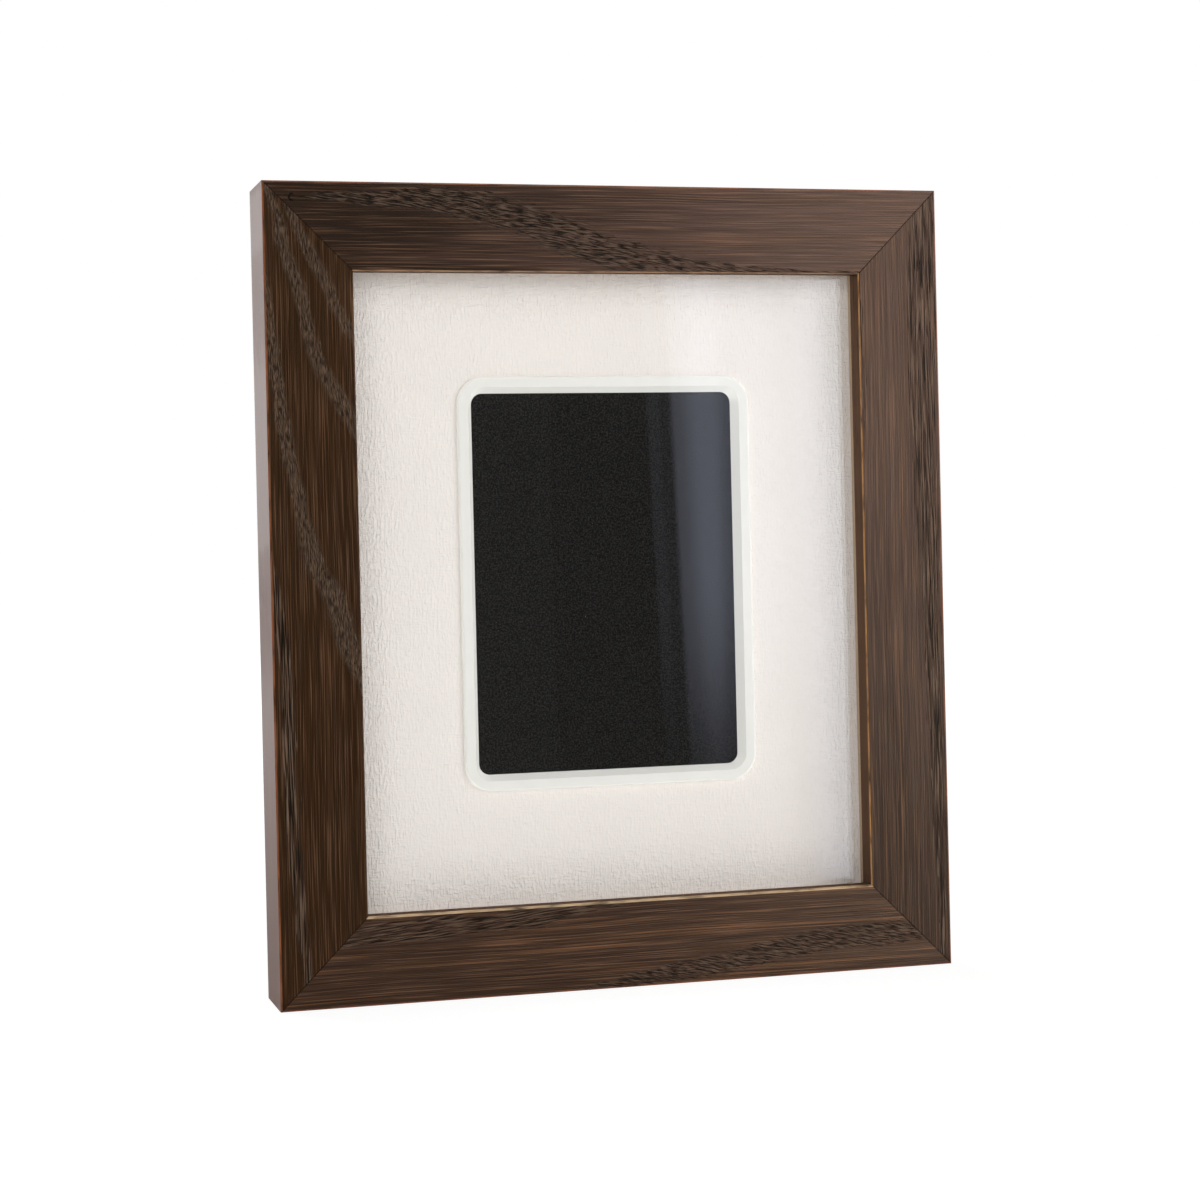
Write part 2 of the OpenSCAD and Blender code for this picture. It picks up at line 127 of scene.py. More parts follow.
class Wiring:
    """Adds nodes to a node tree. An input takes either another node's output or a plain value."""

    def __init__(self, tree):
        self.tree = tree

    def add(self, kind, inputs=None, **settings):
        node = self.tree.nodes.new(kind)
        for name, value in settings.items():
            setattr(node, name, value)
        for name, value in (inputs or {}).items():
            self.feed(node.inputs[name], value)
        return node

    def feed(self, socket, value):
        if isinstance(value, bpy.types.NodeSocket):
            self.tree.links.new(value, socket)
        else:
            socket.default_value = value

    def math(self, operation, *values):
        node = self.add("ShaderNodeMath", operation=operation)
        for socket, value in zip(node.inputs, values):
            self.feed(socket, value)
        return node.outputs[0]

    def plus(self, first, second):
        return self.math("ADD", first, second)

    def minus(self, first, second):
        return self.math("SUBTRACT", first, second)

    def times(self, first, second):
        return self.math("MULTIPLY", first, second)

    def times_plus(self, first, second, third):
        """The first times the second, plus the third."""
        return self.math("MULTIPLY_ADD", first, second, third)

    def larger(self, first, second):
        return self.math("MAXIMUM", first, second)

    def smaller(self, first, second):
        return self.math("MINIMUM", first, second)

    def apart(self, first, second):
        """How far two values are apart."""
        return self.math("ABSOLUTE", self.minus(first, second))

    def fade(self, start, end, value, low=0.0, high=1.0):
        """Goes smoothly from low to high while value goes from start to end."""
        node = self.add("ShaderNodeMapRange", interpolation_type="SMOOTHSTEP", inputs={
            "Value": value, "From Min": start, "From Max": end, "To Min": low, "To Max": high})
        return node.outputs["Result"]

    def mix(self, share, first, second):
        node = self.add("ShaderNodeMix", data_type="RGBA")
        for socket, value in zip((node.inputs[0], node.inputs[6], node.inputs[7]), (share, first, second)):
            self.feed(socket, value)
        return node.outputs[2]

    def split(self, vector):
        return self.add("ShaderNodeSeparateXYZ", {"Vector": vector}).outputs

    def join(self, x, y, z):
        return self.add("ShaderNodeCombineXYZ", {"X": x, "Y": y, "Z": z}).outputs[0]

    def vector_math(self, operation, inputs):
        return self.add("ShaderNodeVectorMath", inputs, operation=operation).outputs

    def stretched(self, vector, factors, shift=0.0):
        """The vector scaled by a factor for each axis, then moved by the same shift along all of them."""
        node = self.add("ShaderNodeMapping", {
            "Vector": vector, "Location": (shift, shift, shift), "Scale": factors})
        return node.outputs[0]

    def noise(self, vector, detail=1.0, roughness=0.5):
        node = self.add("ShaderNodeTexNoise", {
            "Vector": vector, "Scale": 1.0, "Detail": detail, "Roughness": roughness})
        return node.outputs[0]

    def marks(self, place, per_mm, shift=0.0, detail=1.0, roughness=0.5):
        """Cloudy marks, so many to a millimetre along each axis. Another shift gives other marks."""
        return self.noise(self.stretched(place, per_mm, shift), detail, roughness)

    def hair_lines(self, place, per_mm, width, shift):
        """Thin lines along the places where soft marks pass through their middle value."""
        return self.fade(width, width * HAIR_CORE_SHARE, self.apart(self.marks(place, per_mm, shift), 0.5))

    def cells(self, vector):
        """How far a spot is from the middle of its grain, with one grain to a unit."""
        return self.add("ShaderNodeTexVoronoi", {"Vector": vector, "Scale": 1.0}).outputs["Distance"]

    def millimetres(self):
        """The place on the piece, in millimetres."""
        place = self.add("ShaderNodeTexCoord").outputs["Object"]
        return self.stretched(place, evenly(MM_PER_M))

    def bump(self, height, depth_mm):
        return self.add("ShaderNodeBump", {"Height": height, "Distance": depth_mm * MM}).outputs[0]

    def effect(self, group, **inputs):
        """A shared effect with this material's own values. Its outputs come back by name."""
        node = self.add("ShaderNodeGroup", node_tree=group)
        for name, value in inputs.items():
            self.feed(node.inputs[name.replace("_", " ")], value)
        return node.outputs


def evenly(factor):
    """The same factor along all three axes."""
    return (factor, factor, factor)


def shared_effect(name, values, results):
    """An empty node group: its wiring, what comes in and what goes out.

    It takes the place on the piece, called Position, and the named values.
    """
    tree = bpy.data.node_groups.new(name, "ShaderNodeTree")
    tree.interface.new_socket(name="Position", in_out="INPUT", socket_type="NodeSocketVector")
    for value in values:
        tree.interface.new_socket(name=value, in_out="INPUT", socket_type="NodeSocketFloat")
    for result in results:
        tree.interface.new_socket(name=result, in_out="OUTPUT", socket_type="NodeSocketFloat")
    wiring = Wiring(tree)
    return wiring, wiring.add("NodeGroupInput").outputs, wiring.add("NodeGroupOutput").inputs


def finish_named(name):
    """A new material: its wiring and its Principled shader's inputs."""
    material = bpy.data.materials.new(name)
    material.use_nodes = True
    material.node_tree.nodes.clear()
    wiring = Wiring(material.node_tree)
    shader = wiring.add("ShaderNodeBsdfPrincipled")
    output = wiring.add("ShaderNodeOutputMaterial")
    wiring.feed(output.inputs["Surface"], shader.outputs[0])
    return material, wiring, shader.inputs


def surface_of(w):
    """The socket that says what a material shows."""
    return next(n for n in w.tree.nodes if n.type == "OUTPUT_MATERIAL").inputs["Surface"]


def show_instead(w, share, other):
    """Shows another shader for a share of the rays, in place of what the material showed so far."""
    shown = surface_of(w).links[0].from_socket
    either = w.add("ShaderNodeMixShader", {"Fac": share})
    w.feed(either.inputs[1], shown)
    w.feed(either.inputs[2], other)
    w.feed(surface_of(w), either.outputs[0])


def dress(material, *nodes):
    """Puts a finish on pieces that keep their CAD shape."""
    for node in nodes:
        for slot in frame["nodes"][node].material_slots:
            slot.material = material


# Shared effects

# Wood: marks a millimetre along the grain, across it and into the wood
WANDER_MARKS = (0.012, 0.08, 0.08)
TONE_MARKS = (0.010, 0.42, 0.42)
DARK_LINE_MARKS = (0.012, 2.1, 2.1)
PALE_LINE_MARKS = (0.010, 1.7, 1.7)
LINE_PATCH_MARKS = (0.016, 0.5, 0.5)
FIBRE_MARKS = (0.05, 3.8, 3.8)
RAGGED_MARKS = (0.14, 0.6, 0.6)
WEAVE_MARKS = (0.18, 0.28, 0.28)
DASH_MARKS = (0.30, 2.3, 2.3)

# How wide the hair lines are, as a share of the marks' height, and the share of it in full colour
DARK_LINE_WIDTH = 0.08
PALE_LINE_WIDTH = 0.06
HAIR_CORE_SHARE = 0.3

# How far the grain wanders and a pore band's edge strays, in millimetres
GRAIN_WANDER = 2.4
RAGGED_REACH = 2.4

# A pore band's full part and its faded rim, as shares of its half width
BAND_CORE = 0.7
BAND_RIM = 1.6

# Where a dash mark starts to be a pore or a ridge and where it is one in full, and how much stronger
# it has to be at the band's edge
PORE_LEVELS = (0.45, 0.40)
RIDGE_LEVELS = (0.54, 0.60)
EDGE_WEAKNESS = 0.22

# Linen: marks a millimetre across, into and up the paper
SLUB_MARKS = (0.10, 0.10, 0.10)
UPRIGHT_THREAD_MARKS = (1.9, 1.0, 0.42)
LEVEL_THREAD_MARKS = (0.42, 1.0, 1.9)
KNOT_MARKS = (1.45, 1.0, 1.25)
LINEN_CLOUD_MARKS = (0.05, 1.0, 0.05)


def make_straight_grain():
    """Lines along the grain of planed wood. Position is along, across and into the wood."""
    w, given, out = shared_effect("straight_grain", (), ("Tone", "Dark line", "Pale line", "Fibre"))
    along, across, depth = w.split(given["Position"])
    wander = w.marks(given["Position"], WANDER_MARKS, shift=31.0)
    across = w.plus(across, w.times(wander, GRAIN_WANDER))
    place = w.join(along, across, depth)
    pale = w.hair_lines(place, PALE_LINE_MARKS, PALE_LINE_WIDTH, shift=19.0)
    patches = w.fade(0.40, 0.66, w.marks(place, LINE_PATCH_MARKS, shift=43.0))
    w.feed(out["Tone"], w.marks(place, TONE_MARKS, detail=3.0))
    w.feed(out["Dark line"], w.hair_lines(place, DARK_LINE_MARKS, DARK_LINE_WIDTH, shift=7.0))
    w.feed(out["Pale line"], w.times(pale, patches))
    w.feed(out["Fibre"], w.marks(place, FIBRE_MARKS, shift=3.0))
    return w.tree


def make_pore_band():
    """A band of open pores: dashes near the grain's direction, with pale ridges between that are partly
    painted sheen.

    Middle and Half width place the band across the grain, Tilt leans its dashes, Seed picks them,
    and Fineness and Shortness set their size.
    """
    w, given, out = shared_effect(
        "pore_band", ("Middle", "Half width", "Tilt", "Seed", "Fineness", "Shortness"),
        ("Band", "Pores", "Ridges"))
    along, across, depth = w.split(given["Position"])
    ragged = w.marks(given["Position"], RAGGED_MARKS, shift=53.0, detail=2.0)
    edge = w.times(w.minus(ragged, 0.5), RAGGED_REACH)
    offset = w.apart(w.plus(across, edge), given["Middle"])
    inside = w.times(given["Half width"], BAND_CORE)
    outside = w.times_plus(given["Half width"], BAND_RIM, 0.02)
    band = w.fade(outside, inside, offset)
    leaning = w.minus(across, w.times(given["Tilt"], along))
    along = w.plus(along, given["Seed"])
    weave = w.times(w.marks(w.join(along, leaning, depth), WEAVE_MARKS), given["Shortness"])
    place = w.join(along, w.plus(weave, leaning), depth)
    shortened = w.vector_math("MULTIPLY", {0: place, 1: w.join(given["Shortness"], 1.0, 1.0)})[0]
    sized = w.vector_math("SCALE", {0: shortened, "Scale": given["Fineness"]})[0]
    dash = w.marks(sized, DASH_MARKS, roughness=0.6)
    weaker = w.times(w.minus(1.0, band), EDGE_WEAKNESS)
    pores = w.fade(*PORE_LEVELS, w.plus(dash, weaker))
    ridges = w.fade(*RIDGE_LEVELS, w.minus(dash, weaker))
    w.feed(out["Band"], band)
    w.feed(out["Pores"], w.times(pores, w.fade(0.0, 0.2, band)))
    w.feed(out["Ridges"], w.times(ridges, w.fade(0.0, 0.3, band)))
    return w.tree


def make_woven_emboss():
    """Linen pressed into paper: slubby threads both ways. Position is in millimetres."""
    w, given, out = shared_effect("woven_emboss", (), ("Height", "Tone"))
    x, _, z = w.split(given["Position"])
    bend = w.marks(given["Position"], SLUB_MARKS)
    flat = w.join(w.times_plus(bend, 1.1, x), 0.0, w.times_plus(bend, 0.9, z))
    upright = w.fade(0.42, 0.66, w.marks(flat, UPRIGHT_THREAD_MARKS, shift=5.0))
    level = w.fade(0.44, 0.68, w.marks(flat, LEVEL_THREAD_MARKS, shift=23.0))
    knots = w.fade(0.50, 0.74, w.marks(flat, KNOT_MARKS, shift=41.0))
    threads = w.times_plus(level, 0.75, upright)
    w.feed(out["Height"], w.times_plus(knots, 0.8, threads))
    w.feed(out["Tone"], w.marks(flat, LINEN_CLOUD_MARKS, detail=2.0))
    return w.tree


def make_pressed_fibre():
    """Board or paper of pressed fibres. Position is in fibre widths."""
    w, given, out = shared_effect("pressed_fibre", (), ("Height", "Tone"))
    cloud = w.marks(given["Position"], evenly(0.12), detail=3.0)
    fine = w.noise(given["Position"], detail=3.0, roughness=0.65)
    w.feed(out["Height"], fine)
    w.feed(out["Tone"], w.times_plus(fine, 0.4, w.times(cloud, 0.6)))
    return w.tree


def make_handled_plate():
    """Plated or drawn metal: clouded gloss with fine draw lines. Position is in millimetres."""
    w, given, out = shared_effect("handled_plate", ("Gloss",), ("Height", "Tone", "Roughness"))
    cloud = w.marks(given["Position"], evenly(0.35), detail=3.0)
    lines = w.marks(given["Position"], (0.5, 5.0, 7.0), detail=2.0, roughness=0.6)
    spread = w.times_plus(w.minus(cloud, 0.5), 0.35, given["Gloss"])
    w.feed(out["Roughness"], w.times_plus(w.minus(lines, 0.5), 0.12, spread))
    w.feed(out["Tone"], w.fade(0.3, 0.7, cloud))
    w.feed(out["Height"], lines)
    return w.tree


STRAIGHT_GRAIN = make_straight_grain()
PORE_BAND = make_pore_band()
WOVEN_EMBOSS = make_woven_emboss()
PRESSED_FIBRE = make_pressed_fibre()
HANDLED_PLATE = make_handled_plate()

# Stained rails

# How the pores of a band look: how dark the open ones are, how pale the ridges between them, how
# fine they are, how short for their width, and how grey the band is instead of dark. The pale ridges
# and the grey band are partly painted sheen
GREY_RIDGES = (0.7, 0.26, 1.9, 0.9, 1.0)
LONG_STREAKS = (0.98, 0.45, 1.5, 0.18, 0.3)
BLACK_DASHES = (0.98, 0.25, 1.5, 0.7, 0.0)
LEVEL_DASHES = (0.98, 0.25, 1.5, 0.36, 0.0)

# A band of pores: its look, its tilt against the grain, then points of how far along the rail it
# is, how far its middle lies in from the rail's outer edge, and half its width, all in
# millimetres. Upright rails run from their top end, level rails from their left end.
LEFT_BANDS = (
    (GREY_RIDGES, 0.05, (
        (0, -4, 0), (12, -2, 1.1), (29, 0.5, 1.4), (54, 3.6, 1.5), (70, 6.5, 1.5),
        (86, 10.2, 2.0), (94, 14.5, 2.3), (104, 17.0, 2.2), (114, 20.5, 1.1), (120, 22, 0))),
    (GREY_RIDGES, 0.05, (
        (0, 0.5, 1.0), (5, 2.5, 1.1), (16, 5, 1.4), (25, 8, 1.4), (37, 10.5, 1.5),
        (44, 13.5, 1.8), (50, 17, 1.9), (58, 21, 1.4), (64, 24, 0))),
    (GREY_RIDGES, 0.05, (
        (0, 4, 0.4), (9, 7, 1.1), (15, 10, 1.4), (23, 14, 1.4), (30, 17, 1.4),
        (36, 20.5, 1.4), (44, 24, 0))),
    (LONG_STREAKS, 0.01, (
        (76, -2, 0), (84, -0.6, 0.8), (95, 1.2, 1.2), (110, 3.0, 1.4), (130, 3.2, 1.4),
        (150, 4.0, 1.4), (170, 5.5, 1.1), (186, 7.0, 0.8))),
)
RIGHT_BANDS = (
    (LONG_STREAKS, -0.01, (
        (0, 2.5, 2.4), (20, 4.0, 3.4), (45, 4.3, 3.3), (65, 4.0, 2.8), (85, 3.5, 2.3),
        (110, 3.2, 1.9), (130, 2.8, 1.5), (160, 2.4, 1.0), (186, 2.0, 0.8))),
    (LONG_STREAKS, 0.0, (
        (14, 20.4, 0), (24, 19.9, 0.35), (40, 19.6, 0.45), (58, 19.7, 0.2), (64, 20, 0))),
)
TOP_BANDS = (
    (BLACK_DASHES, 0.16, (
        (8, 3.5, 0), (20, 3.6, 1.4), (35, 3.6, 2.2), (45, 4.6, 3.0), (55, 6.6, 3.1),
        (65, 10, 3.7), (75, 13.6, 3.9), (85, 16.2, 3.4), (95, 18.0, 2.2), (105, 18.9, 1.3),
        (120, 19.5, 0.7), (142, 19.8, 0.3), (150, 20, 0))),
)
BOTTOM_BANDS = (
    (LEVEL_DASHES, 0.10, (
        (6, 12, 0), (14, 15.0, 1.3), (20, 16.2, 2.3), (30, 16.7, 2.4), (40, 17.0, 2.2),
        (50, 17.2, 2.0), (60, 17.8, 1.9), (70, 19.0, 1.2), (83, 19.9, 0.4), (90, 20.5, 0))),
    (BLACK_DASHES, -0.22, (
        (68, 0, 0), (78, 1.2, 0.9), (90, 2.4, 2.0), (100, 3.3, 2.0), (110, 5.0, 2.2),
        (120, 6.7, 2.4), (130, 7.7, 2.5), (140, 8.2, 2.5), (150, 8.7, 2.4), (162, 8.2, 1.6))),
)
BAND_MARGIN = 12.0
BAND_SEED_STEP = 17.0

# The stain's colours where it isn't plain, and how much of them shows. The grey haze, the pale ridges and
# the outer side's colour are partly painted sheen
DARK_LINE = paint(40, 29, 26)
PALE_LINE = paint(134, 92, 60)
LINE_SHARE = 0.62
DARK_FIBRE = paint(34, 23, 18)
DARK_FIBRE_SHARE = 0.34
PALE_FIBRE = paint(140, 104, 80)
PALE_FIBRE_SHARE = 0.26
DARK_HAZE = paint(36, 27, 22)
# The grey haze and the pale ridge colour stand partly for sheen on the pores' edges: painted sheen.
GREY_BAND_SHEEN = paint(92, 78, 66)
HAZE_SHARE = 0.25
PALE_RIDGE_SHEEN = paint(126, 106, 90)
OPEN_PORE = paint(15, 12, 10)
MITRE_GAP = paint(26, 17, 13)
MITRE_SHARE = 0.75
# The outer side's paler, redder colour is partly painted sheen from grazing light.
OUTER_SIDE_AND_SHEEN = paint(162, 106, 86)
INNER_SIDE = paint(124, 92, 70)
DENT_CRESCENT = paint(17, 12, 10)
RUBBED_OUTER_EDGE = paint(150, 90, 58)

# The wax on the rails: its tint, its gloss on the outer side, and how rough the stain under it is on
# the face, with what the fibre, the side faces and the pore bands add
WAX_TINT = (1.0, 0.80, 0.64, 1.0)
OUTER_COAT = 0.7
OUTER_COAT_ROUGHNESS = 0.32
FACE_ROUGHNESS = 0.20
FIBRE_ROUGHNESS = 0.12
SIDE_ROUGHNESS = 0.14
BAND_ROUGHNESS = 0.14

# Depth of the pores, in millimetres, and the other heights as shares of it
PORE_DEPTH = 0.16
RIDGE_HEIGHT = 0.3
FIBRE_HEIGHT = 0.1
LINE_DEPTH = 0.1
MITRE_DEPTH = 0.6

# In millimetres: how wide the rubbed outer edge and the mitre's dark line are, how far behind the
# front the side faces start, and how far in from the outer edge the outer and the inner side are
RUBBED_WIDTH = 0.34
MITRE_WIDTH = 0.16
SIDE_START = (0.2, 0.9)
OUTER_SIDE_REACH = (1.0, 0.2)
INNER_SIDE_REACH = (RAIL_FACE - 2.0, RAIL_FACE - 1.0)

# A rail's axis: its letter, its direction, and what makes it start at nought, in millimetres
FROM_LEFT = ("X", 1.0, FRAME_W / 2)
FROM_RIGHT = ("X", -1.0, FRAME_W / 2)
FROM_TOP = ("Z", -1.0, FRAME_H)
FROM_FOOT = ("Z", 1.0, 0.0)

# Each rail's stain: its brown and its deep colour, how much paler its far end is as painted sheen,
# how strong its lines are, how matt and pale its inner side is, how its inner edge is rubbed, partly
# with painted light (how much, how wide in millimetres, and to what colour), its shine, and its dent
# (along, across, radius in millimetres)
# The rails' browns differ partly as wood tone and partly as painted sheen: the right and top rails' are
# paler and greyer than the left rail's.
RAILS = {
    "rail_top": {
        "along_axis": FROM_LEFT, "across_axis": FROM_TOP, "length": FRAME_W, "bands": TOP_BANDS,
        "brown": paint(84, 63, 55), "deep": paint(38, 28, 21), "painted_sheen_end": 0.45, "lines": 0.34,
        "matt_lip": 0.4, "rubbed_and_lit": (0.7, 0.34, paint(180, 142, 110)), "shine": 0.38,
        "dent": (6.8, 3.7, 0.75)},
    "rail_bottom": {
        "along_axis": FROM_LEFT, "across_axis": FROM_FOOT, "length": FRAME_W, "bands": BOTTOM_BANDS,
        "brown": paint(74, 53, 40), "deep": paint(54, 38, 27), "painted_sheen_end": 0.1, "lines": 0.85,
        # The bottom rail's rubbed inner edge is wider and paler, partly as painted highlight from above.
        "matt_lip": 0.6, "rubbed_and_lit": (0.95, 0.6, paint(206, 178, 142)), "shine": 0.38},
    "rail_left": {
        "along_axis": FROM_TOP, "across_axis": FROM_LEFT, "length": FRAME_H, "bands": LEFT_BANDS,
        "brown": paint(49, 30, 12), "deep": paint(43, 27, 12), "painted_sheen_end": 0.0, "lines": 0.16,
        # The left rail's rubbed inner edge barely shows, as painted shade.
        "matt_lip": 0.0, "rubbed_and_lit": (0.1, 0.34, paint(180, 142, 110)), "shine": 0.2},
    "rail_right": {
        "along_axis": FROM_TOP, "across_axis": FROM_RIGHT, "length": FRAME_H, "bands": RIGHT_BANDS,
        "brown": paint(80, 60, 51), "deep": paint(44, 30, 22), "painted_sheen_end": -0.45, "lines": 0.4,
        "matt_lip": 0.5, "rubbed_and_lit": (0.85, 0.34, paint(196, 144, 92)), "shine": 0.32},
}


def band_curve(w, along, length, points, low, high):
    """A smooth curve of millimetres through points of (millimetres along, millimetres)."""
    node = w.add("ShaderNodeFloatCurve", {"Value": w.math("DIVIDE", along, length)})
    curve = node.mapping.curves[0]
    shares = [(spot / length, (value - low) / (high - low)) for spot, value in points]
    while len(curve.points) < len(shares):
        curve.points.new(0.5, 0.5)
    for point, share in zip(curve.points, shares):
        point.location = share
    node.mapping.extend = "HORIZONTAL"
    node.mapping.update()
    return w.times_plus(node.outputs[0], high - low, low)


def pore_bands(w, place, along, length, bands):
    """A rail's bands together, as masks: the band, its grey part, its open pores, its pale ridges (partly
    painted sheen).
    """
    band = grey_band = pores = ridges = 0.0
    for number, (look, tilt, points) in enumerate(bands):
        open_pores, ridge_sheen, fineness, shortness, greyness = look
        middles = [(spot, middle) for spot, middle, _ in points]
        halves = [(spot, half) for spot, _, half in points]
        middle = band_curve(w, along, length, middles, -BAND_MARGIN, RAIL_FACE + BAND_MARGIN)
        half = band_curve(w, along, length, halves, 0.0, BAND_MARGIN)
        streak = w.effect(PORE_BAND, Position=place, Middle=middle, Half_width=half, Tilt=tilt,
                          Seed=BAND_SEED_STEP * number, Fineness=fineness, Shortness=shortness)
        band = w.larger(band, streak["Band"])
        grey_band = w.larger(grey_band, w.times(streak["Band"], greyness))
        pores = w.larger(pores, w.times(streak["Pores"], open_pores))
        ridges = w.larger(ridges, w.times(streak["Ridges"], ridge_sheen))
    return band, grey_band, pores, ridges


def plain_stain(w, grain, band, along_share, brown, deep, painted_sheen_end, lines):
    """The stain between the pores: its tone, the dark and pale lines, and the fibre."""
    # The tone grows paler towards one end of the rail: painted sheen.
    tone = w.times_plus(w.minus(along_share, 0.5), painted_sheen_end, w.times_plus(grain["Tone"], 0.45, 0.275))
    calm = w.minus(1.0, w.times(band, 0.8))
    colour = w.mix(w.fade(0.32, 0.68, tone), deep, brown)
    colour = w.mix(w.times(grain["Dark line"], LINE_SHARE * lines), colour, DARK_LINE)
    colour = w.mix(w.times(w.times(grain["Pale line"], calm), LINE_SHARE * lines), colour, PALE_LINE)
    colour = w.mix(w.fade(0.60, 0.36, grain["Fibre"], 0.0, DARK_FIBRE_SHARE), colour, DARK_FIBRE)
    return w.mix(w.fade(0.52, 0.72, grain["Fibre"], 0.0, PALE_FIBRE_SHARE), colour, PALE_FIBRE)


def mitre_line(w, along, across, length):
    """The dark hair line where two rails meet, at either end of a rail."""
    end = w.smaller(along, w.minus(length, along))
    return w.fade(MITRE_WIDTH * math.sqrt(2), MITRE_WIDTH * 0.4, w.apart(end, across))


def crescent_dent(w, along, across, dent):
    """A thin dark crescent on one side of a small round dent's rim."""
    middle_along, middle_across, radius = dent
    side = w.minus(along, middle_along)
    offset = w.join(side, w.minus(across, middle_across), 0.0)
    far = w.vector_math("LENGTH", {0: offset})["Value"]
    rim = w.fade(radius * 0.4, radius * 0.15, w.apart(far, radius))
    return w.times(rim, w.fade(radius * 0.6, -radius * 0.1, side))


def rubbed_edges(w, place, width):
    """Where the stain is rubbed off the inner and the outer front edge."""
    _, across, depth = w.split(place)
    patches = w.fade(0.25, 0.6, w.marks(place, RAGGED_MARKS, shift=71.0, detail=3.0))
    worn = w.times(patches, w.fade(width * 1.3, width, depth))
    inner = w.fade(RAIL_FACE - width, RAIL_FACE - width * 0.7, across)
    outer = w.fade(RUBBED_WIDTH * 1.4, RUBBED_WIDTH * 0.7, across)
    return w.times(worn, inner), w.times(worn, outer)


def stained_wood(name, along_axis, across_axis, length, bands, brown, deep, painted_sheen_end, lines,
                 matt_lip, rubbed_and_lit, shine, dent=None):
    """Dark walnut stain on the open-pored wood of one rail."""
    material, w, shader = finish_named(name)
    spot = w.split(w.millimetres())
    along = w.times_plus(spot[along_axis[0]], along_axis[1], along_axis[2])
    across = w.times_plus(spot[across_axis[0]], across_axis[1], across_axis[2])
    depth = w.minus(spot["Y"], FRONT_Y)
    place = w.join(along, across, depth)
    grain = w.effect(STRAIGHT_GRAIN, Position=place)
    band, grey_band, pores, ridges = pore_bands(w, place, along, length, bands)
    mitre = mitre_line(w, along, across, length)
    rubbed_share, rubbed_width, rubbed_colour = rubbed_and_lit
    inner_edge, outer_edge = rubbed_edges(w, place, rubbed_width)
    side = w.fade(*SIDE_START, depth)
    outside = w.times(side, w.fade(*OUTER_SIDE_REACH, across))
    lip = w.times(side, w.fade(*INNER_SIDE_REACH, across))

    colour = plain_stain(w, grain, band, w.math("DIVIDE", along, length), brown, deep, painted_sheen_end, lines)
    # The band's grey haze and its pale ridges are partly painted sheen.
    colour = w.mix(w.times(band, HAZE_SHARE), colour, w.mix(grey_band, DARK_HAZE, GREY_BAND_SHEEN))
    colour = w.mix(ridges, colour, PALE_RIDGE_SHEEN)
    colour = w.mix(pores, colour, OPEN_PORE)
    colour = w.mix(w.times(mitre, MITRE_SHARE), colour, MITRE_GAP)
    # The outer side faces take a paler colour, partly as painted sheen.
    painted_side_sheen = w.times_plus(grain["Dark line"], -0.2, w.times_plus(grain["Fibre"], 0.3, 0.4))
    colour = w.mix(w.times(outside, painted_side_sheen), colour, OUTER_SIDE_AND_SHEEN)
    colour = w.mix(w.times(lip, matt_lip), colour, INNER_SIDE)
    if dent:
        colour = w.mix(crescent_dent(w, along, across, dent), colour, DENT_CRESCENT)
    # The rubbed inner edge's share and colour differ by rail, partly as painted light.
    colour = w.mix(w.times(inner_edge, rubbed_share), colour, rubbed_colour)
    w.feed(shader["Base Color"], w.mix(outer_edge, colour, RUBBED_OUTER_EDGE))

    matt = w.times_plus(grain["Fibre"], FIBRE_ROUGHNESS, w.times_plus(side, SIDE_ROUGHNESS, FACE_ROUGHNESS))
    matt = w.times_plus(lip, matt_lip, matt)
    w.feed(shader["Roughness"], w.times_plus(band, BAND_ROUGHNESS, matt))
    w.feed(shader["Specular IOR Level"], shine)
    w.feed(shader["Specular Tint"], WAX_TINT)
    w.feed(shader["Coat Weight"], w.times(outside, OUTER_COAT))
    w.feed(shader["Coat Roughness"], OUTER_COAT_ROUGHNESS)

    relief = w.times_plus(ridges, RIDGE_HEIGHT, w.times(grain["Fibre"], FIBRE_HEIGHT))
    relief = w.minus(relief, w.times(grain["Dark line"], LINE_DEPTH))
    relief = w.minus(relief, pores)
    relief = w.minus(relief, w.times(mitre, MITRE_DEPTH))
    w.feed(shader["Normal"], w.bump(relief, PORE_DEPTH))
    return material


def dress_rails():
    for node, stain in RAILS.items():
        dress(stained_wood("stained_" + node, **stain), node)


# Glass, mat, bezel, pad and boards

GLASS_IOR = 1.52
SMEAR_ROUGHNESS = 0.02

# How far in from the window's edge the linen is pressed flat, and how far it is still crisp, in
# millimetres, then how deep it is there
CRISP_MARGIN = (14.0, 3.0)
LINEN_DEPTHS = (0.85, 1.6)

# Fibres and marks to a millimetre
MAT_FIBRES = evenly(3.0)
SPACER_FIBRES = (1.2, 9.0, 1.2)
HARDBOARD_FIBRES = evenly(2.2)
SMEAR_MARKS = evenly(0.05)
MOULDING_MARKS = evenly(2.6)
PLASTIC_CLOUD_MARKS = evenly(0.06)
PILE_MARKS = evenly(2.4)
SPECK_GRAINS = evenly(1.1)
SPECK_PATCH_MARKS = evenly(0.9)

# Depth of the relief, in millimetres
LINEN_RELIEF = 0.07
MAT_RELIEF = 0.04
SPACER_RELIEF = 0.05
MOULDING_RELIEF = 0.01
PILE_RELIEF = 0.2
HARDBOARD_RELIEF = 0.06
PLATE_RELIEF = 0.008


def float_glass():
    """Clear float glass. It lets the lamps through to what is behind it."""
    material, w, shader = finish_named("float_glass")
    smears = w.marks(w.millimetres(), SMEAR_MARKS, detail=3.0)
    w.feed(shader["Base Color"], WHITE)
    w.feed(shader["Roughness"], w.fade(0.55, 0.9, smears, 0.0, SMEAR_ROUGHNESS))
    w.feed(shader["IOR"], GLASS_IOR)
    w.feed(shader["Transmission Weight"], 1.0)
    path = w.add("ShaderNodeLightPath").outputs
    passing = w.larger(path["Is Shadow Ray"], path["Is Diffuse Ray"])
    show_instead(w, passing, w.add("ShaderNodeBsdfTransparent").outputs[0])
    return material


